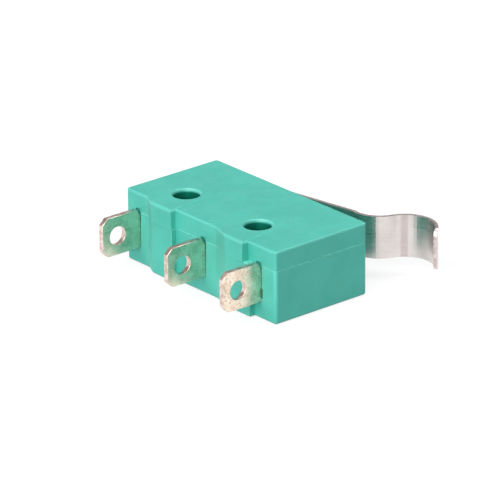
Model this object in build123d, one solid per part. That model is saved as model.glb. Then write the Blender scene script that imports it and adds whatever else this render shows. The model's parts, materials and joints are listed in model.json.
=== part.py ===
from build123d import *
import math
import os

os.makedirs("parts", exist_ok=True)

# Frame: the origin lies midway between the two mounting holes on the lower broad face.
# X runs along the body towards the free end of the lever, Y from the terminals to the lever,
# Z up through the two mounting holes.

# Moulded body
body_length = 19.8
body_width = 10.2
body_height = 6.64
body_shift = 0.5
terminal_side = 2.9
seam_height = 4.85
pad_rise = 0.04
wall = 1.0
floor_thickness = 1.3
cover_skin = 1.1
corner_radius = 0.3
lower_edge_radius = 0.22
upper_edge_radius = 0.15
seam_bevel = 0.09

# Mounting holes
hole_pitch = 9.5
hole_radius = 1.2
hole_bevel = 0.14
boss_radius = 1.95
spigot_radius = 1.6
spigot_depth = 0.5

# Ribs on the terminal side, one below each mounting hole
case_rib = 0.55
cover_rib = 0.65
ramp_radius = 1.2
left_ramp_before = 1.65
left_ramp_after = 0.6
left_rib_reach = 2.13
right_ramp_before = 2.05
right_ramp_after = 0.15
right_rib_reach_cover = 2.15
right_rib_reach_case = 2.95

# Raised pads round the holes on the cover
pad_root_half = 2.05
pad_tip_half = 1.7
pad_tip_y = 1.15

# Terminals
terminal_thickness = 0.5
common_setback = 1.6
closed_setback = 2.1
middle_terminal_x = 1.0
terminal_length = 4.15
blade_low = 1.6
blade_width = 3.55
neck_below_seam = 0.3
tip_chamfer = 0.55
neck_chamfer = 0.4
solder_hole_radius = 0.84
solder_hole_setback = 1.63
slot_fit = 0.03
mouth_fit = 0.08
mouth_depth = 0.35
mouth_height = 0.5
notch_rise = 0.3
relief_low = 1.9
relief_high = 2.8
relief_width = 0.2
bend_radius = 0.2
leg_gap = 0.05

# Running fits and working gaps
pivot_fit = 0.02
guide_fit = 0.05
pin_fit = 0.04
rivet_fit = 0.02
touch_gap = 0.02

# Lever
lever_thickness = 0.3
lever_angle = 10.0
lever_swing = 11.0
lever_line_ahead = 6.38
lever_line_rise = 2.535
lever_hinge_width = 3.8
lever_arm_width = 4.05
lever_nose_width = 3.88
lever_heel = 0.75
lever_first_shoulder = 1.45
lever_second_shoulder = 13.15
first_bend_radius = 2.61
nose_ahead = 18.43
nose_rise = 4.83
nose_radius = 2.68
nose_end_angle = 29.0
nose_corner_radius = 0.75
hinge_setback = 1.65
hinge_depth = 0.7
hinge_block_ahead = 1.3
hinge_block_depth = 1.6
lug_radius = 0.72
pin_radius = 0.45
pin_seat = 0.5
pocket_gap = 0.25

# Plunger
plunger_ahead = 5.05
plunger_z = 3.1
stem_radius = 1.0
crown_radius = 1.6
flange_radius = 1.4
flange_height = 0.65
nose_stem_radius = 0.7
nose_tip_radius = 1.0

# Snap mechanism
leaf_pivot_setback = 0.2
toggle_height = 3.8
leaf_half_angle = 5.3
leaf_thickness = 0.2
leaf_width = 1.9
leaf_hook_past_plunger = 0.75
pivot_spacing = 7.0
arm_half_angle = 1.8
arm_thickness = 0.2
arm_width = 2.8
arm_tip_width = 1.9
arm_hook_setback = 2.2
contact_setback = 1.3
lane_width = 1.3
prong_rise = 0.45
notch_depth = 0.07
coil_radius = 0.36
wire_radius = 0.08
coil_turns = 8
coil_steps = 16
wire_sides = 6
coil_start = 0.95
hook_height = 0.3
hook_bend = 0.22
hook_drop = -0.24
hook_hole_radius = 0.22

# Contact rivets
fixed_head_radius = 0.85
moving_head_radius = 0.7
moving_head = 0.45
shank_radius = 0.38
tail_radius = 0.6
tail_thickness = 0.2
crown_drop = 0.08

# Derived positions
x_left = body_shift - body_length / 2
x_right = body_shift + body_length / 2
y_low = -terminal_side
y_high = body_width - terminal_side
z_top = body_height - pad_rise
hole_x = hole_pitch / 2
left_ramp_start = -hole_x - left_ramp_before
left_ramp_end = -hole_x - left_ramp_after
left_rib_wall = -hole_x + left_rib_reach
right_ramp_start = hole_x - right_ramp_before
right_ramp_end = hole_x - right_ramp_after
right_rib_wall_cover = hole_x + right_rib_reach_cover
right_rib_wall_case = hole_x + right_rib_reach_case
common_x = x_left + common_setback
closed_x = x_right - closed_setback
terminal_tip = y_low - terminal_length
solder_hole_y = terminal_tip + solder_hole_setback
hinge_x = x_left + hinge_setback
hinge_y = y_high - hinge_depth
lever_heel_x = hinge_x - lever_heel
lever_shoulder_left = hinge_x + lever_first_shoulder
lever_shoulder_right = hinge_x + lever_second_shoulder
lever_line_x = hinge_x + lever_line_ahead
lever_line_y = hinge_y + lever_line_rise
nose_centre_x = hinge_x + nose_ahead
nose_centre_y = hinge_y + nose_rise
plunger_x = hinge_x + plunger_ahead
leaf_pivot_x = common_x - leaf_pivot_setback
leaf_hook_reach = plunger_x - leaf_pivot_x + leaf_hook_past_plunger
arm_pivot_x = leaf_pivot_x + pivot_spacing
contact_reach = closed_x - contact_setback - arm_pivot_x
arm_hook_reach = contact_reach - arm_hook_setback
half_t = terminal_thickness / 2
neck_top = seam_height - neck_below_seam
mech_z = (blade_low + neck_top) / 2
leg_low = boss_radius + leg_gap
leg_high = leg_low + terminal_thickness
y_inner_low = y_low + wall
y_inner_high = y_high - wall
recess_top = body_height - cover_skin
lever_z = body_height / 2
contact_x = arm_pivot_x + contact_reach * math.cos(math.radians(arm_half_angle))
contact_lift = contact_reach * math.sin(math.radians(arm_half_angle))
moving_half = arm_thickness / 2 + moving_head
closed_face = toggle_height + contact_lift + moving_half + touch_gap
open_face = toggle_height - contact_lift - moving_half - touch_gap
closed_leg_low = closed_face + 0.475
pocket_low = lever_z - lever_hinge_width / 2 - pocket_gap
pocket_high = lever_z + lever_hinge_width / 2 + pocket_gap
pocket_floor = hinge_y - lug_radius - 0.12


def block(x0, x1, y0, y1, z0, z1):
    size = Box(x1 - x0, y1 - y0, z1 - z0)
    return Pos((x0 + x1) / 2, (y0 + y1) / 2, (z0 + z1) / 2) * size


def post(x, y, radius, z0, z1):
    return Pos(x, y, (z0 + z1) / 2) * Cylinder(radius, z1 - z0)


def bar_y(x, z, radius, y0, y1):
    return Pos(x, (y0 + y1) / 2, z) * Rot(90, 0, 0) * Cylinder(radius, y1 - y0)


def bar_x(y, z, radius, x0, x1):
    return Pos((x0 + x1) / 2, y, z) * Rot(0, 90, 0) * Cylinder(radius, x1 - x0)


def prism(points, z0, z1, rounds=()):
    face = make_face(Polyline(*points, close=True))
    for (px, py), radius in rounds:
        corner = face.vertices().sort_by_distance((px, py, 0))[0]
        face = fillet(corner, radius)
    return Pos(0, 0, z0) * extrude(face, z1 - z0)


def turned(points, x, z):
    # Revolves a closed profile of (radius, y) pairs about an axis parallel to Y
    face = make_face(Polyline(*points, close=True))
    return Pos(x, 0, z) * revolve(face, Axis.Y)


def body_outline(rib, right_wall):
    # Rectangle with two ribs on the terminal side, each with one sloping flank and one square wall
    y_rib = y_low - rib
    points = [
        (x_left, y_low),
        (left_ramp_start, y_low),
        (left_ramp_end, y_rib),
        (left_rib_wall, y_rib),
        (left_rib_wall, y_low),
        (right_ramp_start, y_low),
        (right_ramp_end, y_rib),
        (right_wall, y_rib),
        (right_wall, y_low),
        (x_right, y_low),
        (x_right, y_high),
        (x_left, y_high),
    ]
    ramps = [points[1], points[2], points[5], points[6]]
    corners = [points[0], points[9], points[10], points[11]]
    rounds = [(p, ramp_radius) for p in ramps]
    rounds += [(p, corner_radius) for p in corners]
    return points, rounds


def slot_tool(x, z0, z1):
    # Terminal slot through the terminal-side wall, a little wider at the outer face above the neck
    throat = block(x - half_t - slot_fit, x + half_t + slot_fit, y_low - 1.5, y_inner_low + 0.01, z0, z1)
    return throat + mouth_tool(x, z1)


def mouth_tool(x, z1):
    half_mouth = half_t + mouth_fit
    return block(x - half_mouth, x + half_mouth, y_low - 1.5, y_low + mouth_depth, neck_top - mouth_height, z1)


def inner_space(z0, z1, boss):
    # Room for the mechanism: the body inside its walls, less bosses, terminal backing and hinge block
    space = block(x_left + wall, closed_x + half_t + 0.06, y_inner_low, y_inner_high, z0, z1)
    for x in (-hole_x, hole_x):
        space -= post(x, 0, boss, z0 - 1, z1 + 1)
        space -= block(x - boss, x + boss, y_inner_low - 1, 0, z0 - 1, z1 + 1)
    space += block(common_x - half_t - 0.05, common_x + half_t + 0.05, y_inner_low, toggle_height - 0.6, z0, z1)
    space -= block(x_left, common_x - half_t - 0.05, y_inner_low - 1, toggle_height - 0.6, z0 - 1, z1 + 1)
    hinge_block_right = hinge_x + hinge_block_ahead
    space -= block(x_left, hinge_block_right, hinge_y - hinge_block_depth, y_high, z0 - 1, z1 + 1)
    return space


def hinge_pocket(z0, z1):
    # Slot open to the lever side that takes the two lever lugs
    x0 = hinge_x - lug_radius - 0.15
    x1 = hinge_x + lug_radius + 0.45
    return block(x0, x1, pocket_floor, y_high + 1, z0, z1)


# Case: floor, walls, bosses and slots
points, rounds = body_outline(case_rib, right_rib_wall_case)
case = prism(points, 0, seam_height, rounds)
case = fillet(case.faces().sort_by(Axis.Z)[0].edges(), lower_edge_radius)
case = chamfer(case.faces().sort_by(Axis.Z)[-1].edges(), seam_bevel)
case -= inner_space(floor_thickness, seam_height + 1, boss_radius)
case -= hinge_pocket(pocket_low, seam_height + 1)
case -= post(hinge_x, hinge_y, pin_radius + pin_fit, pocket_low - pin_seat, pocket_low + 0.1)
case -= bar_y(plunger_x, plunger_z, stem_radius + guide_fit, y_inner_high - 0.01, y_high + 1)
guide_half = stem_radius + guide_fit
case -= block(
    plunger_x - guide_half, plunger_x + guide_half, y_inner_high - 0.01, y_high + 1, plunger_z, seam_height + 1
)
for x in (common_x, middle_terminal_x, closed_x):
    case -= slot_tool(x, blade_low - 0.04, seam_height + 1)
relief_x = closed_x + half_t
case -= block(relief_x, relief_x + relief_width, y_low - 1.5, y_low + mouth_depth, relief_low, relief_high)
for x in (-hole_x, hole_x):
    case -= post(x, 0, hole_radius, -1, seam_height + 1)
    case -= post(x, 0, spigot_radius + guide_fit, seam_height - spigot_depth, seam_height + 1)
    case -= Pos(x, 0, hole_bevel / 2) * Cone(hole_radius + hole_bevel, hole_radius, hole_bevel)

# Cover: skin, raised pads, spigots and the tabs that close the slots of the case
points, rounds = body_outline(cover_rib, right_rib_wall_cover)
cover = prism(points, seam_height, z_top, rounds)
envelope = prism(points, seam_height, body_height, rounds)
cover = fillet(cover.faces().sort_by(Axis.Z)[-1].edges(), upper_edge_radius)
for x in (-hole_x, hole_x):
    pad_points = [
        (x - pad_root_half, y_low - cover_rib + upper_edge_radius),
        (x + pad_root_half, y_low - cover_rib + upper_edge_radius),
        (x + pad_tip_half, pad_tip_y),
        (x - pad_tip_half, pad_tip_y),
    ]
    pad = prism(pad_points, z_top - 0.3, body_height)
    pad += post(x, pad_tip_y, pad_tip_half, z_top - 0.3, body_height)
    cover += pad & envelope
cover -= inner_space(seam_height - 1, recess_top, boss_radius + 0.3)
cover -= hinge_pocket(seam_height - 1, pocket_high)
cover -= post(hinge_x, hinge_y, pin_radius + pin_fit, pocket_high - 0.1, pocket_high + pin_seat)
for x in (common_x, middle_terminal_x, closed_x):
    cover -= mouth_tool(x, seam_height + notch_rise)
    tab = block(x - half_t, x + half_t, y_low + mouth_depth, y_inner_low - 0.02, neck_top + 0.02, seam_height + 0.1)
    cover += tab
saddle_half = guide_half - 0.02
saddle = block(
    plunger_x - saddle_half,
    plunger_x + saddle_half,
    y_inner_high + 0.02,
    y_high - 0.02,
    plunger_z + 0.35,
    seam_height + 0.1,
)
cover += saddle - bar_y(plunger_x, plunger_z, stem_radius + guide_fit, y_inner_high - 1, y_high + 1)
for x in (-hole_x, hole_x):
    cover += post(x, 0, spigot_radius, seam_height - spigot_depth + 0.03, seam_height + 0.1)
    cover -= post(x, 0, hole_radius, 0, body_height + 1)
    cover -= Pos(x, 0, body_height - hole_bevel / 2) * Cone(hole_radius, hole_radius + hole_bevel, hole_bevel)


def blade(x):
    # Flat terminal blade with clipped tip corners, a step down to the neck and a solder hole
    top = blade_low + blade_width
    points = [
        (terminal_tip, blade_low + tip_chamfer),
        (terminal_tip + tip_chamfer, blade_low),
        (y_inner_low + 0.2, blade_low),
        (y_inner_low + 0.2, neck_top),
        (y_low, neck_top),
        (y_low - neck_chamfer, top),
        (terminal_tip + tip_chamfer, top),
        (terminal_tip, top - tip_chamfer),
    ]
    face = make_face(Polyline(*[(0, y, z) for y, z in points], close=True))
    plate = Pos(x - half_t, 0, 0) * extrude(face, terminal_thickness, dir=(1, 0, 0))
    hole = bar_x(solder_hole_y, blade_low + blade_width / 2 - 0.05, solder_hole_radius, x - 1, x + 1)
    return plate - hole


def bent_leg(x, y0, side, end_x, z0, z1):
    # Strip that rises from the neck and turns along X towards end_x; side is +1 or -1
    back = x - side * half_t
    front = x + side * half_t
    y1 = y0 + terminal_thickness
    points = [(back, y_inner_low), (back, y1), (end_x, y1), (end_x, y0), (front, y0), (front, y_inner_low)]
    rounds = [(points[1], bend_radius + terminal_thickness), (points[4], bend_radius)]
    return prism(points, z0, z1, rounds)


# Common terminal: two rails with upright prongs for the contact arm, one upright tongue for the leaf
prong_high = toggle_height + prong_rise
prong_right = arm_pivot_x + arm_thickness / 2 - notch_depth + 0.12
prong_left = prong_right - terminal_thickness
common_terminal = blade(common_x)
lane_low = mech_z - lane_width / 2
lane_high = mech_z + lane_width / 2
for z0, z1 in ((blade_low, lane_low), (lane_high, neck_top)):
    rail = bent_leg(common_x, leg_low, 1, prong_right, z0, z1)
    rail += block(prong_left, prong_right, leg_low, prong_high, z0, z1)
    seat_x = arm_pivot_x - (arm_thickness / 2 + pivot_fit) * math.sqrt(2)
    notch_points = [(seat_x, toggle_height), (seat_x + 0.6, toggle_height - 0.6), (seat_x + 0.6, toggle_height + 0.6)]
    rail -= prism(notch_points, z0 - 1, z1 + 1)
    common_terminal += rail
tongue_low = mech_z - 0.55
tongue_high = mech_z + 0.55
common_terminal += block(
    common_x - half_t, common_x + half_t, y_inner_low, leg_low, blade_low, neck_top
)
tongue = block(common_x - half_t, common_x + half_t, leg_low - 0.5, prong_high, tongue_low, tongue_high)
leaf_seat = leaf_pivot_x + (leaf_thickness / 2 + pivot_fit) * math.sqrt(2)
notch_points = [
    (leaf_seat, toggle_height),
    (leaf_seat - 0.6, toggle_height - 0.6),
    (leaf_seat - 0.6, toggle_height + 0.6),
]
tongue -= prism(notch_points, tongue_low - 1, tongue_high + 1)
common_terminal += tongue

# Normally open terminal: its leg lies over the right-hand boss below the contact arm
normally_open_terminal = blade(middle_terminal_x)
normally_open_terminal += bent_leg(
    middle_terminal_x, leg_low, 1, closed_x - half_t - 0.3, blade_low, neck_top
)
normally_open_terminal -= bar_y(contact_x, mech_z, shank_radius + rivet_fit, leg_low - 1, leg_high + 1)

# Normally closed terminal: its leg turns back over the contact arm
normally_closed_terminal = blade(closed_x)
normally_closed_terminal += bent_leg(
    closed_x, closed_leg_low, -1, contact_x - 0.9, blade_low, neck_top
)
normally_closed_terminal -= bar_y(
    contact_x, mech_z, shank_radius + rivet_fit, closed_leg_low - 1, closed_leg_low + terminal_thickness + 1
)


def fixed_contact(seat, face, far):
    # Rivet with its head between seat and face, its shank through the leg and a clinched tail beyond far
    way = 1 if face > seat else -1
    tail = far - way * tail_thickness
    points = [
        (0, face),
        (fixed_head_radius - 0.3, face),
        (fixed_head_radius, face - way * crown_drop),
        (fixed_head_radius, seat),
        (shank_radius, seat),
        (shank_radius, far),
        (tail_radius, far),
        (tail_radius - 0.1, tail),
        (0, tail),
    ]
    return turned(points, contact_x, mech_z)


normally_open_contact = fixed_contact(leg_high, open_face, leg_low)
normally_closed_contact = fixed_contact(closed_leg_low, closed_face, closed_leg_low + terminal_thickness)

# Moving contact: one rivet with a head on either face of the arm
half_arm = arm_thickness / 2
moving_points = [
    (0, -moving_half),
    (moving_head_radius - 0.35, -moving_half),
    (moving_head_radius, -moving_half + crown_drop),
    (moving_head_radius, -half_arm),
    (shank_radius - 0.03, -half_arm),
    (shank_radius - 0.03, half_arm),
    (moving_head_radius, half_arm),
    (moving_head_radius, moving_half - crown_drop),
    (moving_head_radius - 0.35, moving_half),
    (0, moving_half),
]
arm_place = Pos(arm_pivot_x, toggle_height, mech_z) * Rot(0, 0, arm_half_angle)
moving_contact = arm_place * turned(moving_points, contact_reach, 0)

# Contact arm: forked strip with a full-round knife edge on each fork and a hole for the spring
half_width = arm_width / 2
half_tip = arm_tip_width / 2
fork_edge = lane_width / 2 - 0.05
fork_root = arm_hook_reach - 0.6
arm_plan = [
    (0, fork_edge),
    (0, half_width),
    (contact_reach - 1.8, half_width),
    (contact_reach - 0.8, half_tip),
    (contact_reach + 1.0, half_tip),
    (contact_reach + 1.0, -half_tip),
    (contact_reach - 0.8, -half_tip),
    (contact_reach - 1.8, -half_width),
    (0, -half_width),
    (0, -fork_edge),
    (fork_root, -fork_edge),
    (fork_root, fork_edge),
]
arm_face = make_face(Polyline(*[(x, 0, z) for x, z in arm_plan], close=True))
contact_arm = Pos(0, -half_arm, 0) * extrude(arm_face, arm_thickness, dir=(0, 1, 0))
contact_arm = fillet(
    contact_arm.edges().filter_by(Axis.Y).group_by(Axis.X)[-1], 0.7
)
for side in (-1, 1):
    centre = side * (half_width + fork_edge) / 2
    contact_arm += Pos(0, 0, centre) * Cylinder(half_arm, half_width - fork_edge)
contact_arm -= bar_y(contact_reach, 0, shank_radius, -1, 1)
contact_arm -= bar_y(arm_hook_reach, 0, hook_hole_radius, -1, 1)
contact_arm = arm_place * contact_arm

# Actuating leaf: strip with a window round the tongue of the common terminal
half_leaf = leaf_thickness / 2
half_leaf_width = leaf_width / 2
leaf_plan = [
    (-0.3, half_leaf_width),
    (leaf_hook_reach - 0.85, half_leaf_width),
    (leaf_hook_reach - 0.35, 0.5),
    (leaf_hook_reach + 0.32, 0.5),
    (leaf_hook_reach + 0.32, -0.5),
    (leaf_hook_reach - 0.35, -0.5),
    (leaf_hook_reach - 0.85, -half_leaf_width),
    (-0.3, -half_leaf_width),
]
leaf_face = make_face(Polyline(*[(x, 0, z) for x, z in leaf_plan], close=True))
leaf = Pos(0, -half_leaf, 0) * extrude(leaf_face, leaf_thickness, dir=(0, 1, 0))
window_half = (tongue_high - tongue_low) / 2 + 0.05
leaf -= block(0, 0.75, -1, 1, -window_half, window_half)
leaf += Cylinder(half_leaf, 2 * window_half)
leaf -= bar_y(leaf_hook_reach, 0, hook_hole_radius, -1, 1)
leaf_place = Pos(leaf_pivot_x, toggle_height, mech_z) * Rot(0, 0, leaf_half_angle)
actuating_leaf = leaf_place * leaf

# Snap spring: open coil with a hook at each end, stretched between leaf and contact arm
leaf_rad = math.radians(leaf_half_angle)
arm_rad = math.radians(arm_half_angle)
left_hook = (
    leaf_pivot_x + leaf_hook_reach * math.cos(leaf_rad),
    toggle_height + leaf_hook_reach * math.sin(leaf_rad),
)
right_hook = (
    arm_pivot_x + arm_hook_reach * math.cos(arm_rad),
    toggle_height + arm_hook_reach * math.sin(arm_rad),
)
span_x = right_hook[0] - left_hook[0]
span_y = right_hook[1] - left_hook[1]
span = math.hypot(span_x, span_y)
coil_length = span - 2 * coil_start
coil_count = coil_turns * coil_steps
left_end = [(0, hook_drop, 0), (0, hook_height - hook_bend, 0), (hook_bend, hook_height, 0)]
right_end = [(span - x, y, z) for x, y, z in reversed(left_end)]
coil = []
for step in range(coil_count + 1):
    turn = 2 * math.pi * step / coil_steps
    coil.append(
        (
            coil_start + coil_length * step / coil_count,
            coil_radius * math.cos(turn),
            coil_radius * math.sin(turn),
        )
    )
spring_path = Polyline(*left_end, *coil, *right_end)
wire_plane = Plane(origin=left_end[0], z_dir=(0, 1, 0))
spring_section = wire_plane * RegularPolygon(wire_radius, wire_sides)
spring_body = sweep(spring_section, path=spring_path, transition=Transition.RIGHT)
spring_place = Pos(left_hook[0], left_hook[1], mech_z) * Rot(0, 0, math.degrees(math.atan2(span_y, span_x)))
snap_spring = spring_place * spring_body

# Lever: one bent strip, with two lugs turned down to the hinge pin and a rolled nose
slope = math.radians(lever_angle)
line_dir = (math.cos(slope), math.sin(slope))
line_up = (-math.sin(slope), math.cos(slope))


def on_line(x):
    return lever_line_y + (x - lever_line_x) * math.tan(slope)


# Centre of the first bend: one radius above the straight line and tangent to the nose
reach = first_bend_radius + nose_radius
foot = (0, on_line(0) + first_bend_radius / math.cos(slope))
away_x = foot[0] - nose_centre_x
away_y = foot[1] - nose_centre_y
along = away_x * line_dir[0] + away_y * line_dir[1]
advance = -along - math.sqrt(along ** 2 - (away_x ** 2 + away_y ** 2 - reach ** 2))
bend_x = foot[0] + advance * line_dir[0]
bend_y = foot[1] + advance * line_dir[1]
bend_to_nose = math.atan2(nose_centre_y - bend_y, nose_centre_x - bend_x)
bend_start = slope - math.pi / 2
nose_start = bend_to_nose + math.pi
nose_end = math.radians(nose_end_angle)


def polar(cx, cy, radius, angle):
    return (cx + radius * math.cos(angle), cy + radius * math.sin(angle))


def strip_edges(offset):
    # Straight arm, first bend and rolled nose at a given distance to the left of the centre line
    start_x = lever_heel_x - offset * math.sin(slope)
    start = (start_x, on_line(lever_heel_x) + offset * math.cos(slope))
    r1 = first_bend_radius - offset
    r2 = nose_radius + offset
    a = polar(bend_x, bend_y, r1, bend_start)
    b = polar(bend_x, bend_y, r1, (bend_start + bend_to_nose) / 2)
    c = polar(bend_x, bend_y, r1, bend_to_nose)
    d = polar(nose_centre_x, nose_centre_y, r2, (nose_start + nose_end) / 2)
    e = polar(nose_centre_x, nose_centre_y, r2, nose_end)
    return start, e, [Line(start, a), ThreePointArc(a, b, c), ThreePointArc(c, d, e)]


upper_start, upper_end, upper = strip_edges(lever_thickness / 2)
lower_start, lower_end, lower = strip_edges(-lever_thickness / 2)
strip_face = make_face(Wire(upper + lower + [Line(upper_start, lower_start), Line(upper_end, lower_end)]))
half_arm_width = lever_arm_width / 2
strip = Pos(0, 0, lever_z - half_arm_width) * extrude(strip_face, lever_arm_width)
# Plan of the strip: narrow at the hinge, widest along the arm, slightly narrower at the nose
half_hinge_width = lever_hinge_width / 2
half_nose_width = lever_nose_width / 2
strip_plan = [
    (lever_heel_x - 1, -half_hinge_width),
    (lever_shoulder_left, -half_hinge_width),
    (lever_shoulder_left + 0.4, -half_arm_width),
    (lever_shoulder_right, -half_arm_width),
    (lever_shoulder_right + 0.35, -half_nose_width),
    (nose_centre_x + nose_radius + 1, -half_nose_width),
]
mirrored = [(x, -z) for x, z in reversed(strip_plan)]
plan_face = make_face(Polyline(*[(x, 0, lever_z + z) for x, z in strip_plan + mirrored], close=True))
strip &= Pos(0, hinge_y, 0) * extrude(plan_face, 12, dir=(0, 1, 0))
tip = ((upper_end[0] + lower_end[0]) / 2, (upper_end[1] + lower_end[1]) / 2)
tip_edges = [
    edge
    for edge in strip.edges()
    if abs(edge.length - lever_thickness) < 0.02 and math.hypot(edge.center().X - tip[0], edge.center().Y - tip[1]) < 0.05
]
strip = fillet(tip_edges, nose_corner_radius)
lever = strip
strip_low = on_line(hinge_x) - lever_thickness / 2 / math.cos(slope)
for z0 in (lever_z - half_hinge_width, lever_z + half_hinge_width - lever_thickness):
    z1 = z0 + lever_thickness
    lug = prism(
        [
            (hinge_x - lug_radius, hinge_y),
            (hinge_x + lug_radius, hinge_y),
            (hinge_x + lug_radius, on_line(hinge_x + lug_radius)),
            (hinge_x - lug_radius, on_line(hinge_x - lug_radius)),
        ],
        z0,
        z1,
    )
    lug += post(hinge_x, hinge_y, lug_radius, z0, z1)
    lug -= post(hinge_x, hinge_y, pin_radius + pin_fit, z0 - 1, z1 + 1)
    lever += lug

# Hinge pin: plain cut wire held in a blind seat at either end
pin_low = pocket_low - pin_seat + 0.03
pin_high = pocket_high + pin_seat - 0.03
hinge_pin = post(hinge_x, hinge_y, pin_radius, pin_low, pin_high)

# Plunger: domed stem, retaining flange and a round nose that bears on the leaf
strip_underside = lever_line_y - lever_thickness / 2 / math.cos(slope)
underside_at_plunger = strip_underside + (plunger_x - lever_line_x) * math.tan(slope)
plunger_top = underside_at_plunger + crown_radius - (crown_radius + touch_gap) / math.cos(slope)
leaf_reach = plunger_x - leaf_pivot_x
nose_gap = nose_tip_radius + half_leaf + touch_gap
nose_centre = toggle_height + (nose_gap + leaf_reach * math.sin(leaf_rad)) / math.cos(leaf_rad)
flange_top = y_inner_high - 0.05
crown_edge = plunger_top - crown_radius + math.sqrt(crown_radius ** 2 - stem_radius ** 2)
crown_mid_r = stem_radius * 0.55
crown_mid_y = plunger_top - crown_radius + math.sqrt(crown_radius ** 2 - crown_mid_r ** 2)
nose_half = math.asin(nose_stem_radius / nose_tip_radius)
nose_edge = nose_centre - nose_tip_radius * math.cos(nose_half)
nose_mid = (nose_tip_radius * math.sin(nose_half / 2), nose_centre - nose_tip_radius * math.cos(nose_half / 2))
crown_arc = ThreePointArc((0, plunger_top), (crown_mid_r, crown_mid_y), (stem_radius, crown_edge))
flange_steps = [
    (stem_radius, crown_edge),
    (stem_radius, flange_top),
    (flange_radius, flange_top),
    (flange_radius, flange_top - flange_height),
    (nose_stem_radius, flange_top - flange_height),
    (nose_stem_radius, nose_edge),
]
nose_low = nose_centre - nose_tip_radius
nose_arc = ThreePointArc((nose_stem_radius, nose_edge), nose_mid, (0, nose_low))
plunger_edges = [crown_arc, nose_arc, Line((0, nose_low), (0, plunger_top))]
plunger_edges += [Line(p, q) for p, q in zip(flange_steps, flange_steps[1:])]
plunger_profile = Wire(plunger_edges)
plunger = Pos(plunger_x, 0, plunger_z) * revolve(make_face(plunger_profile), Axis.Y)

nodes = {
    "case": case,
    "cover": cover,
    "plunger": plunger,
    "lever": lever,
    "hinge_pin": hinge_pin,
    "common_terminal": common_terminal,
    "normally_open_terminal": normally_open_terminal,
    "normally_closed_terminal": normally_closed_terminal,
    "normally_open_contact": normally_open_contact,
    "normally_closed_contact": normally_closed_contact,
    "moving_contact": moving_contact,
    "contact_arm": contact_arm,
    "actuating_leaf": actuating_leaf,
    "snap_spring": snap_spring,
}
for name, shape in nodes.items():
    export_step(shape, "parts/" + name + ".step")
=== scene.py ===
import bmesh
import bpy
import json
import math
from mathutils import Matrix, Vector

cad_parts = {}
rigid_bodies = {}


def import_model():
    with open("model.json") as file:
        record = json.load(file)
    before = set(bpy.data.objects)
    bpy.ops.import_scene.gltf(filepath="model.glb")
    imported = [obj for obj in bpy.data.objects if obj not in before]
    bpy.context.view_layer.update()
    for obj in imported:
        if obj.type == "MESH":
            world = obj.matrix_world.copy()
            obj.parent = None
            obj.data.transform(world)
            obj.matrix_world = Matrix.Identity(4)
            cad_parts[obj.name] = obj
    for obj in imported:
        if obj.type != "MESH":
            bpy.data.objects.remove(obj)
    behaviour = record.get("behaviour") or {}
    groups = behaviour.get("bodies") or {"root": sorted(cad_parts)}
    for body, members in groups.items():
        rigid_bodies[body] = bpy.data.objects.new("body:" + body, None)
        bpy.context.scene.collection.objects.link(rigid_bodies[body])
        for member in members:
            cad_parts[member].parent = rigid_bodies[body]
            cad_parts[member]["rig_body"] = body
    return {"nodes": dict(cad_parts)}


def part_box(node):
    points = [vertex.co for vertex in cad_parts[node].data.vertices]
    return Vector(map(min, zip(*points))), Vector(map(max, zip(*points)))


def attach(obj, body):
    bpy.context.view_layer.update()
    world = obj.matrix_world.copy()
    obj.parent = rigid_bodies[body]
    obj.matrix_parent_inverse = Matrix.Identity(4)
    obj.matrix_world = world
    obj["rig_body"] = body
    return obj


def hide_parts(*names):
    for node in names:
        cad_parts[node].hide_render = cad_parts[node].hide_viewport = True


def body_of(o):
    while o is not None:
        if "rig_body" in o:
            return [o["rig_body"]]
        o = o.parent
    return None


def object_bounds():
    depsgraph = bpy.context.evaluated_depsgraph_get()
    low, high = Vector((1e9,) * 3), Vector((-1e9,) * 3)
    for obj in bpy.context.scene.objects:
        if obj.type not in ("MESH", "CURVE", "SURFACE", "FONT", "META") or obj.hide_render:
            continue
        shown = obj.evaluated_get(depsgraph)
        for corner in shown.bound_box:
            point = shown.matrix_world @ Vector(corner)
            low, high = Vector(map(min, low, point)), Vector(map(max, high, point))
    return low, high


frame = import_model()
cad_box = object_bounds()
nodes = frame["nodes"]

MM = 0.001
WHITE = (1.0, 1.0, 1.0, 1.0)

# Colours of the mouldings
GREEN = (0.072, 0.540, 0.440, 1.0)
GREEN_LIGHT = (0.090, 0.610, 0.500, 1.0)
GREEN_DARK = (0.058, 0.490, 0.395, 1.0)
# Painted highlight colour for the seam, the pad walls, the upper rim and the upright corners
GREEN_PAINTED_HIGHLIGHT = (0.22, 0.76, 0.66, 1.0)
# Painted shade colour for the walls of the holes
GREEN_PAINTED_SHADE = (0.002, 0.145, 0.095, 1.0)
GREEN_PATCH = (0.62, 0.86, 0.80, 1.0)
IVORY = (0.70, 0.67, 0.59, 1.0)
IVORY_LIGHT = (0.78, 0.75, 0.67, 1.0)
IVORY_DARK = (0.62, 0.58, 0.50, 1.0)

# Colours of the tinned strip
TIN_DARK = (0.80, 0.64, 0.50, 1.0)
TIN_LIGHT = (0.96, 0.83, 0.69, 1.0)
TIN_STAIN = (0.50, 0.32, 0.22, 1.0)
TIN_PIT = (0.28, 0.16, 0.11, 1.0)
TIN_CUT_DARK = (0.60, 0.43, 0.36, 1.0)
TIN_CUT_LIGHT = (0.87, 0.73, 0.67, 1.0)

# Colours of the lever strip
STEEL_DARK = (0.67, 0.61, 0.595, 1.0)
STEEL_LIGHT = (0.77, 0.715, 0.70, 1.0)
STEEL_LINE = (0.93, 0.89, 0.87, 1.0)
STEEL_BAND = (0.50, 0.40, 0.385, 1.0)
STEEL_SPOT = (0.42, 0.35, 0.32, 1.0)
STEEL_CUT_DARK = (0.56, 0.45, 0.43, 1.0)
STEEL_CUT_LIGHT = (0.73, 0.63, 0.61, 1.0)

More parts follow.
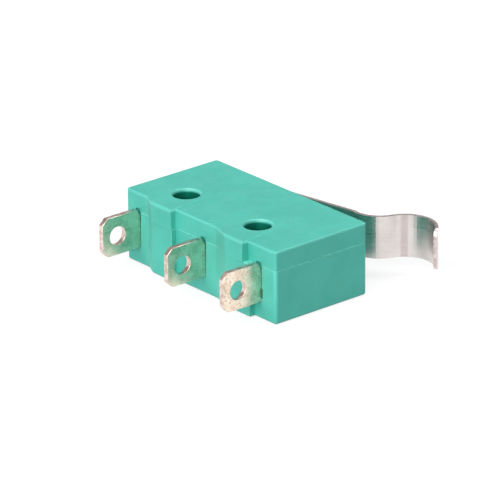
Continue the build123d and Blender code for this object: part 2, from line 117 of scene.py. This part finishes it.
# Colours of the hidden metals, darkest and lightest
PIN_TONES = (0.50, 0.48, 0.46, 1.0), (0.70, 0.68, 0.66, 1.0)
WIRE_TONES = (0.45, 0.43, 0.42, 1.0), (0.66, 0.64, 0.62, 1.0)
SILVER_TONES = (0.78, 0.76, 0.72, 1.0), (0.93, 0.91, 0.88, 1.0)
BRONZE_TONES = (0.62, 0.38, 0.19, 1.0), (0.80, 0.55, 0.30, 1.0)

TERMINALS = ("common_terminal", "normally_open_terminal", "normally_closed_terminal")
RIVETS = ("normally_open_contact", "normally_closed_contact", "moving_contact")
BRONZE_STRIPS = ("contact_arm", "actuating_leaf")

# Places and widths in millimetres, where the finishes change and where highlights and shade are painted
SEAM_LOW = 4.76
SEAM_HIGH = 4.85
SEAM_FADE = 0.03
PAD_FOOT = 6.60
PAD_FADE = 0.02
RIM_FROM = 6.3
RIM_TO = 6.5
BODY_MIDDLE = 0.5
CORNER_FROM = 9.5
CORNER_TO = 9.7
HOLE_X = 4.75
HOLE_RADIUS = 1.2
WALL_OUTER = 1.32
WALL_INNER = 1.22
DEEP_FROM = 6.55
DEEP_TO = 6.25
STAINED_FROM = 4.0
STAINED_TO = 6.0
BAND_FROM = 8.50
BAND_TO = 9.06
BAND_FADE = 0.16
TIP_FROM = 12.2
TIP_TO = 12.5


class Tree:
    """Short calls for building the nodes of one material or of the world."""

    def __init__(self, tree):
        self.tree = tree
        self.tree.nodes.clear()

    def add(self, kind, **settings):
        node = self.tree.nodes.new(kind)
        for key, value in settings.items():
            setattr(node, key, value)
        return node

    def put(self, socket, value):
        if hasattr(value, "is_output"):
            self.tree.links.new(value, socket)
        else:
            socket.default_value = value

    def math(self, operation, a, b=None):
        node = self.add("ShaderNodeMath", operation=operation)
        self.put(node.inputs[0], a)
        if b is not None:
            self.put(node.inputs[1], b)
        return node.outputs[0]

    def times(self, a, b):
        return self.math("MULTIPLY", a, b)

    def mix(self, factor, a, b):
        node = self.add("ShaderNodeMix", data_type="RGBA")
        self.put(node.inputs[0], factor)
        self.put(node.inputs[6], a)
        self.put(node.inputs[7], b)
        return node.outputs[2]

    def span(self, value, low, high, out_low=0.0, out_high=1.0):
        node = self.add("ShaderNodeMapRange", interpolation_type="SMOOTHSTEP", clamp=True)
        for index, item in enumerate((value, low, high, out_low, out_high)):
            self.put(node.inputs[index], item)
        return node.outputs[0]

    def scaled(self, vector, scale):
        node = self.add("ShaderNodeVectorMath", operation="MULTIPLY")
        self.put(node.inputs[0], vector)
        self.put(node.inputs[1], scale)
        return node.outputs[0]

    def noise(self, vector, scale, detail=3.0, rough=0.5, distort=0.0):
        node = self.add("ShaderNodeTexNoise")
        self.put(node.inputs["Vector"], vector)
        self.put(node.inputs["Scale"], scale)
        self.put(node.inputs["Detail"], detail)
        self.put(node.inputs["Roughness"], rough)
        self.put(node.inputs["Distortion"], distort)
        return node.outputs[0]

    def cells(self, vector, scale):
        node = self.add("ShaderNodeTexVoronoi")
        self.put(node.inputs["Vector"], vector)
        self.put(node.inputs["Scale"], scale)
        return node.outputs["Distance"]

    def axes(self, vector):
        node = self.add("ShaderNodeSeparateXYZ")
        self.put(node.inputs[0], vector)
        return node.outputs[0], node.outputs[1], node.outputs[2]

    def bump(self, height, distance, strength, normal=None):
        node = self.add("ShaderNodeBump")
        self.put(node.inputs["Strength"], strength)
        self.put(node.inputs["Distance"], distance)
        self.put(node.inputs["Height"], height)
        if normal is not None:
            self.put(node.inputs["Normal"], normal)
        return node.outputs[0]

    def highest(self, *values):
        result = values[0]
        for value in values[1:]:
            result = self.math("MAXIMUM", result, value)
        return result


def material(name):
    """A new material, its tree, its shader, object coordinates in millimetres, and the normal."""
    made = bpy.data.materials.new(name)
    made.use_nodes = True
    tree = Tree(made.node_tree)
    out = tree.add("ShaderNodeOutputMaterial")
    shader = tree.add("ShaderNodeBsdfPrincipled")
    tree.put(out.inputs[0], shader.outputs[0])
    coords = tree.add("ShaderNodeTexCoord")
    place = tree.scaled(coords.outputs["Object"], (1 / MM, 1 / MM, 1 / MM))
    return made, tree, shader, place, coords.outputs["Normal"]


def dress(node, made):
    """Gives one CAD node its finish in every material slot."""
    mesh = nodes[node].data
    if not mesh.materials:
        mesh.materials.append(made)
    for index in range(len(mesh.materials)):
        mesh.materials[index] = made


# Moulded plastics
def moulded(name, colour, light, dark, rough, grain):
    """Moulded plastic: cloudy colour, fine spark-eroded grain, faint flow waves, a few rubbed patches."""
    made, t, shader, place, normal = material(name)
    cloud = t.noise(place, 0.35, rough=0.55)
    fine = t.noise(place, 9.0, detail=2.0, rough=0.6)
    tone = t.mix(t.span(cloud, 0.36, 0.66), dark, light)
    tone = t.mix(0.6, tone, colour)
    tone = t.mix(t.times(t.span(fine, 0.55, 0.75), 0.22), tone, light)
    patch = t.noise(place, 0.8, detail=4.0, rough=0.65, distort=0.4)
    tone = t.mix(t.times(t.span(patch, 0.60, 0.78), 0.05), tone, GREEN_PATCH)
    t.put(shader.inputs["Base Color"], tone)
    gloss = t.span(t.noise(place, 1.3), 0.3, 0.7, rough - 0.05, rough + 0.07)
    t.put(shader.inputs["Roughness"], gloss)
    t.put(shader.inputs["IOR"], 1.5)
    t.put(shader.inputs["Specular IOR Level"], 0.5)
    waves = t.bump(t.noise(place, 0.55, detail=2.0), 0.04 * MM, 0.5)
    sand = t.noise(place, grain, detail=2.0, rough=0.6)
    t.put(shader.inputs["Normal"], t.bump(sand, 0.005 * MM, 0.9, waves))
    return made, t, shader, place, normal, tone, gloss


def housing_plastic(name):
    """Green moulding: painted highlights at the seam, round the pads, on the upper rim and the upright
    corners, painted shade on dull dark walls in the holes.
    """
    made, t, shader, place, normal, tone, gloss = moulded(
        name, GREEN, GREEN_LIGHT, GREEN_DARK, rough=0.42, grain=11.0
    )
    x, y, z = t.axes(place)
    nx, ny, nz = (t.math("ABSOLUTE", axis) for axis in t.axes(normal))
    # Painted highlight: a pale line along the seam, broken up by noise
    seam_highlight_strength = t.span(t.noise(place, 1.7), 0.30, 0.62, 0.45, 0.95)
    above = t.span(z, SEAM_LOW, SEAM_LOW + SEAM_FADE)
    seam = t.times(above, t.span(z, SEAM_HIGH + SEAM_FADE, SEAM_HIGH))
    tone = t.mix(t.times(seam, seam_highlight_strength), tone, GREEN_PAINTED_HIGHLIGHT)
    # Painted highlights also on the low walls of the pads, the upper rim and the four upright corners
    step = t.times(t.span(z, PAD_FOOT - PAD_FADE, PAD_FOOT), t.span(nz, 0.9, 0.5))
    tone = t.mix(step, tone, GREEN_PAINTED_HIGHLIGHT)
    turned = t.span(t.math("MAXIMUM", nx, ny), 0.2, 0.5)
    rim = t.times(t.span(z, RIM_FROM, RIM_TO), turned)
    from_middle = t.math("ABSOLUTE", t.math("SUBTRACT", x, BODY_MIDDLE))
    ends = t.span(from_middle, CORNER_FROM, CORNER_TO)
    corner = t.times(ends, t.span(t.math("MINIMUM", nx, ny), 0.15, 0.45))
    tone = t.mix(t.highest(t.times(rim, 0.35), t.times(corner, 0.15)), tone, GREEN_PAINTED_HIGHLIGHT)
    # Painted shade: the walls of the two holes turn dark green and dull below the rim, and metallic so
    # that they show no white reflection
    across = t.math("SUBTRACT", t.math("ABSOLUTE", x), HOLE_X)
    radius = t.math("SQRT", t.math("ADD", t.times(across, across), t.times(y, y)))
    deep = t.span(z, DEEP_FROM, DEEP_TO)
    inside = t.times(t.span(radius, WALL_OUTER, WALL_INNER), deep)
    tone = t.mix(t.times(inside, 0.95), tone, GREEN_PAINTED_SHADE)
    t.put(shader.inputs["Base Color"], tone)
    t.put(shader.inputs["Roughness"], t.math("ADD", gloss, t.times(inside, 0.30)))
    t.put(shader.inputs["Metallic"], inside)
    return made


# Metals
def tinned():
    """Tinned brass strip: warm bright faces with small brown specks, pinkish brown sheared edges."""
    made, t, shader, place, normal = material("terminal_tin")
    face = t.span(t.math("ABSOLUTE", t.axes(normal)[0]), 0.80, 0.95)
    worst = t.span(t.axes(place)[0], STAINED_FROM, STAINED_TO, 0.4, 1.0)
    cloud = t.noise(place, 0.9, detail=4.0, rough=0.6, distort=0.3)
    bright = t.mix(t.span(cloud, 0.35, 0.68), TIN_DARK, TIN_LIGHT)
    stain = t.noise(place, 5.0, detail=4.0, rough=0.65)
    stain = t.times(worst, t.span(stain, 0.53, 0.64))
    bright = t.mix(t.times(stain, 0.60), bright, TIN_STAIN)
    pits = t.math("SUBTRACT", 1.0, t.span(t.cells(place, 4.2), 0.10, 0.24))
    pits = t.times(pits, t.times(worst, t.span(t.noise(place, 1.1, detail=2.0), 0.42, 0.54)))
    bright = t.mix(t.times(pits, 0.80), bright, TIN_PIT)
    blotch = t.span(t.noise(place, 2.4, detail=4.0, rough=0.65), 0.38, 0.64)
    cut = t.mix(blotch, TIN_CUT_DARK, TIN_CUT_LIGHT)
    t.put(shader.inputs["Base Color"], t.mix(face, cut, bright))
    t.put(shader.inputs["Metallic"], 1.0)
    dull = t.times(t.highest(pits, stain), 0.20)
    t.put(shader.inputs["Roughness"], t.math("ADD", dull, t.span(cloud, 0.3, 0.7, 0.24, 0.36)))
    ripple = t.bump(t.noise(place, 1.6), 0.03 * MM, 0.5)
    grit = t.math("SUBTRACT", t.noise(place, 12.0, detail=2.0), pits)
    t.put(shader.inputs["Normal"], t.bump(grit, 0.008 * MM, 0.6, ripple))
    return made


def rolled_steel():
    """Lever strip: smooth rolled steel, hair-fine marks along its length, duller sheared edges."""
    made, t, shader, place, normal = material("lever_steel")
    x = t.axes(place)[0]
    nx, ny, nz = t.axes(normal)
    # Sheared faces: both long edges, and the cut end of the nose
    edge = t.span(t.math("ABSOLUTE", nz), 0.55, 0.85)
    end_face = t.times(t.span(nx, 0.1, 0.3), t.span(ny, -0.5, -0.7))
    edge = t.highest(edge, t.times(t.span(x, TIP_FROM, TIP_TO), end_face))
    lines = t.noise(t.scaled(place, (0.25, 0.25, 6.0)), 1.0)
    cloud = t.noise(place, 0.45)
    tone = t.mix(t.span(cloud, 0.32, 0.68), STEEL_DARK, STEEL_LIGHT)
    tone = t.mix(t.times(t.span(lines, 0.35, 0.7), 0.10), tone, STEEL_LINE)
    # A narrow darker band crosses the strip at the start of the nose
    starts = t.span(x, BAND_FROM, BAND_FROM + BAND_FADE)
    band = t.times(starts, t.span(x, BAND_TO, BAND_TO - BAND_FADE))
    tone = t.mix(t.times(band, t.span(lines, 0.2, 0.6, 0.35, 0.65)), tone, STEEL_BAND)
    spots = t.span(t.noise(place, 6.5, detail=4.0, rough=0.7), 0.64, 0.76)
    tone = t.mix(t.times(spots, 0.30), tone, STEEL_SPOT)
    blotch = t.span(t.noise(place, 3.0, detail=4.0), 0.38, 0.64)
    sheared = t.mix(blotch, STEEL_CUT_DARK, STEEL_CUT_LIGHT)
    t.put(shader.inputs["Base Color"], t.mix(edge, tone, sheared))
    t.put(shader.inputs["Metallic"], 1.0)
    t.put(shader.inputs["Roughness"], t.span(lines, 0.3, 0.7, 0.27, 0.31))
    dents = t.bump(cloud, 0.02 * MM, 0.3)
    t.put(shader.inputs["Normal"], t.bump(lines, 0.0003 * MM, 0.4, dents))
    return made


def plain_metal(name, tones, rough):
    """Hidden metal: two close tones, uneven gloss and a light bump."""
    made, t, shader, place = material(name)[:4]
    cloud = t.noise(place, 1.2, detail=4.0, rough=0.6)
    t.put(shader.inputs["Base Color"], t.mix(t.span(cloud, 0.35, 0.65), *tones))
    t.put(shader.inputs["Metallic"], 1.0)
    t.put(shader.inputs["Roughness"], t.span(t.noise(place, 4.0), 0.3, 0.7, rough - 0.06, rough + 0.08))
    t.put(shader.inputs["Normal"], t.bump(t.noise(place, 14.0, detail=2.0), 0.008 * MM, 0.6))
    return made


finishes = {
    "case": housing_plastic("case_green"),
    "cover": housing_plastic("cover_green"),
    "plunger": moulded("plunger_plastic", IVORY, IVORY_LIGHT, IVORY_DARK, rough=0.36, grain=12.0)[0],
    "lever": rolled_steel(),
    "hinge_pin": plain_metal("pin_steel", PIN_TONES, rough=0.3),
    "snap_spring": plain_metal("spring_wire", WIRE_TONES, rough=0.28),
}
finishes.update(dict.fromkeys(TERMINALS, tinned()))
finishes.update(dict.fromkeys(RIVETS, plain_metal("contact_silver", SILVER_TONES, rough=0.28)))
finishes.update(dict.fromkeys(BRONZE_STRIPS, plain_metal("spring_bronze", BRONZE_TONES, rough=0.3)))
for name, made in finishes.items():
    dress(name, made)


# Rounded edges on the pieces that show
WELD = 0.0001 * MM
MERGE_TURN = math.radians(0.6)
BEVEL_TURN = math.radians(25)
LARGE_FLAT = 0.5 * MM * MM
FLAT_TURN = math.radians(3)
SMOOTH_TURN = math.radians(50)
TAB_ROUND = 0.045 * MM
LEVER_ROUND = 0.04 * MM
RIB_ROUND = 0.10 * MM
PAD_ROUND = 0.025 * MM
BODY_FRONT = -2.9 * MM
OUTSIDE_BODY = 0.1 * MM
AT_FRONT = 0.05 * MM
AT_TOP = 0.005 * MM
BESIDE_HOLE = 0.3 * MM
BESIDE_TERMINAL = 0.5 * MM
LEAST_RISE = 0.8 * MM
MOST_LEAN = 0.001 * MM

# The middle of each terminal's whole box
terminal_x = [(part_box(name)[0][0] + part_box(name)[1][0]) / 2 for name in TERMINALS]


def rounded(name, rounds):
    """One CAD node again, shown in its place, with sharp edges rounded.

    rounds is a list of (width, picks): picks() takes the edges that are rounded by that width.
    """
    shape = bmesh.new()
    shape.from_mesh(nodes[name].data)
    bmesh.ops.remove_doubles(shape, verts=shape.verts, dist=WELD)
    bmesh.ops.dissolve_limit(shape, angle_limit=MERGE_TURN, verts=shape.verts, edges=shape.edges)
    for width, picks in rounds:
        sharp = []
        for edge in shape.edges:
            if len(edge.link_faces) == 2 and edge.calc_face_angle(0.0) > BEVEL_TURN and picks(edge):
                sharp.append(edge)
        bmesh.ops.bevel(
            shape, geom=sharp, offset=width, segments=2, profile=0.5, affect="EDGES", clamp_overlap=True
        )
    for face in shape.faces:
        face.smooth = True
    # Large flat faces keep their own shading, so that no bevel beside them shades them
    for edge in shape.edges:
        turn = edge.calc_face_angle(0.0)
        beside_flat = max(face.calc_area() for face in edge.link_faces) > LARGE_FLAT
        edge.smooth = turn < SMOOTH_TURN and not (beside_flat and turn > FLAT_TURN)
    mesh = bpy.data.meshes.new(name + "_rounded")
    shape.to_mesh(mesh)
    shape.free()
    mesh.materials.append(finishes[name])
    piece = bpy.data.objects.new(name + "_rounded", mesh)
    bpy.context.scene.collection.objects.link(piece)
    even = piece.modifiers.new("even_shading", "WEIGHTED_NORMAL")
    even.keep_sharp = True
    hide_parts(name)
    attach(piece, body_of(nodes[name])[0])


def any_edge(edge):
    """Takes every sharp edge."""
    return True


def tab_edge(edge):
    """Takes the edges of a tab that lie wholly outside the body."""
    return all(vert.co.y < BODY_FRONT - OUTSIDE_BODY for vert in edge.verts)


def rib_wall_edge(edge):
    """Takes the long upright edges of the ribs and the slot mouths.

    Edges close to the middle of a terminal's box stay sharp: those of the right-hand rib wall.
    """
    low, high = sorted(edge.verts, key=lambda vert: vert.co.z)
    rise = high.co - low.co
    clear = all(abs(low.co.x - x) > BESIDE_TERMINAL for x in terminal_x)
    upright = rise.z > LEAST_RISE and rise.xy.length < MOST_LEAN
    return clear and upright and low.co.y < BODY_FRONT + AT_FRONT


def pad_edge(edge):
    """Takes the upper edges of the raised pads, away from the holes in them."""
    middle = (edge.verts[0].co + edge.verts[1].co) / 2
    reach = math.hypot(abs(middle.x) - HOLE_X * MM, middle.y)
    high = all(vert.co.z > cad_box[1][2] - AT_TOP for vert in edge.verts)
    return high and reach > HOLE_RADIUS * MM + BESIDE_HOLE


for name in TERMINALS:
    rounded(name, [(TAB_ROUND, tab_edge)])
rounded("lever", [(LEVER_ROUND, any_edge)])
rounded("case", [(RIB_ROUND, rib_wall_edge)])
rounded("cover", [(RIB_ROUND, rib_wall_edge), (PAD_ROUND, pad_edge)])


# Floor, light and camera, in metres
FLOOR_HALF = 0.6
FLOOR_DROP = 0.02 * MM
FLOOR_GREY = (0.36, 0.36, 0.36, 1.0)
FLOOR_GLOW = 0.72
ROOM_FILL = 0.08
ROOM_ABOVE = 0.35
BACKDROP_TOP = 0.12
ROOM_FROM = 0.42
AIM = (0.0, 0.002, 0.003)
WARM_LIGHT = (1.0, 0.96, 0.955)
COOL_LIGHT = (0.94, 1.0, 1.0)

# The photograph's view: bearing and height of the camera, its roll, distance and sideways shift
AZIMUTH = math.radians(49.953)
ELEVATION = math.radians(22.293)
ROLL = math.radians(-0.519)
DISTANCE = 0.379927
SHIFT_RIGHT = 0.002372
SHIFT_UP = 0.002626
SENSOR_MM = 36.0
FOCAL_PIXELS = 4425.0
PICTURE_PIXELS = 500.0


def floor_plane():
    """Plain white floor that keeps the object's soft shadow and reads as white to the eye and in metal."""
    mesh = bpy.data.meshes.new("floor")
    half = FLOOR_HALF
    corners = [(-half, -half, 0), (half, -half, 0), (half, half, 0), (-half, half, 0)]
    mesh.from_pydata(corners, [], [(0, 1, 2, 3)])
    floor = bpy.data.objects.new("floor", mesh)
    bpy.context.scene.collection.objects.link(floor)
    floor.location.z = -FLOOR_DROP
    made = bpy.data.materials.new("floor_white")
    made.use_nodes = True
    t = Tree(made.node_tree)
    out = t.add("ShaderNodeOutputMaterial")
    ray = t.add("ShaderNodeLightPath").outputs
    seen = t.highest(ray["Is Camera Ray"], ray["Is Glossy Ray"], ray["Is Transmission Ray"])
    matte = t.add("ShaderNodeBsdfDiffuse")
    t.put(matte.inputs["Color"], FLOOR_GREY)
    glow = t.add("ShaderNodeEmission")
    t.put(glow.inputs["Color"], WHITE)
    t.put(glow.inputs["Strength"], t.times(seen, FLOOR_GLOW))
    both = t.add("ShaderNodeAddShader")
    t.put(both.inputs[0], matte.outputs[0])
    t.put(both.inputs[1], glow.outputs[0])
    t.put(out.inputs[0], both.outputs[0])
    mesh.materials.append(made)


def studio_world():
    """White to the camera, a white backdrop with a dimmer room above it in reflections, a weak fill."""
    world = bpy.data.worlds.new("studio")
    bpy.context.scene.world = world
    world.use_nodes = True
    t = Tree(world.node_tree)
    out = t.add("ShaderNodeOutputWorld")
    ray = t.add("ShaderNodeLightPath").outputs
    coords = t.add("ShaderNodeTexCoord")
    height = t.axes(coords.outputs["Generated"])[2]
    backdrop = t.span(height, BACKDROP_TOP, ROOM_FROM, 1.0, ROOM_ABOVE)
    reflected = t.times(ray["Is Glossy Ray"], backdrop)
    fill = t.times(t.math("SUBTRACT", 1.0, ray["Is Glossy Ray"]), ROOM_FILL)
    strength = t.highest(
        t.math("ADD", reflected, fill), t.highest(ray["Is Camera Ray"], ray["Is Transmission Ray"])
    )
    back = t.add("ShaderNodeBackground")
    t.put(back.inputs["Color"], WHITE)
    t.put(back.inputs["Strength"], strength)
    t.put(out.inputs[0], back.outputs[0])


def softbox(name, place, size, power, colour, along=(1.0, 0.0, 0.0)):
    """A rectangular lamp that faces the object, with its long side turned along a direction."""
    lamp = bpy.data.lights.new(name, "AREA")
    lamp.shape = "RECTANGLE"
    lamp.size, lamp.size_y = size
    lamp.energy = power
    lamp.color = colour
    made = bpy.data.objects.new(name, lamp)
    bpy.context.scene.collection.objects.link(made)
    facing = (Vector(place) - Vector(AIM)).normalized()
    short = facing.cross(Vector(along)).normalized()
    turn = Matrix((short.cross(facing), short, facing)).transposed().to_4x4()
    made.matrix_world = Matrix.Translation(place) @ turn


def camera():
    """A long lens at the nose end, above the terminal side."""
    level = math.cos(ELEVATION)
    back = Vector((math.sin(AZIMUTH) * level, -math.cos(AZIMUTH) * level, math.sin(ELEVATION)))
    right = Vector((math.cos(AZIMUTH), math.sin(AZIMUTH), 0.0))
    up = back.cross(right)
    side = math.cos(ROLL) * right + math.sin(ROLL) * up
    top = math.cos(ROLL) * up - math.sin(ROLL) * right
    data = bpy.data.cameras.new("camera")
    data.sensor_width = SENSOR_MM
    data.lens = FOCAL_PIXELS / PICTURE_PIXELS * SENSOR_MM
    data.clip_start = 0.01
    made = bpy.data.objects.new("camera", data)
    bpy.context.scene.collection.objects.link(made)
    turn = Matrix((side, top, back)).transposed().to_4x4()
    place = back * DISTANCE + right * SHIFT_RIGHT + up * SHIFT_UP
    made.matrix_world = Matrix.Translation(place) @ turn
    bpy.context.scene.camera = made


floor_plane()
studio_world()
softbox("key", place=(0.12, -0.345, 0.24), size=(0.62, 0.43), power=2.76, colour=WARM_LIGHT)
softbox("top", place=(-0.02, 0.06, 0.42), size=(0.34, 0.34), power=0.68, colour=COOL_LIGHT)
# The narrow lamp stands where the fillet above the nose-end face mirrors it to the camera
slant = (0.88, 0.0, -0.47)
softbox("rim", place=(0.150, 0.237, 0.283), size=(0.20, 0.03), power=0.26, colour=COOL_LIGHT, along=slant)
camera()
bpy.context.scene.view_settings.view_transform = "Standard"
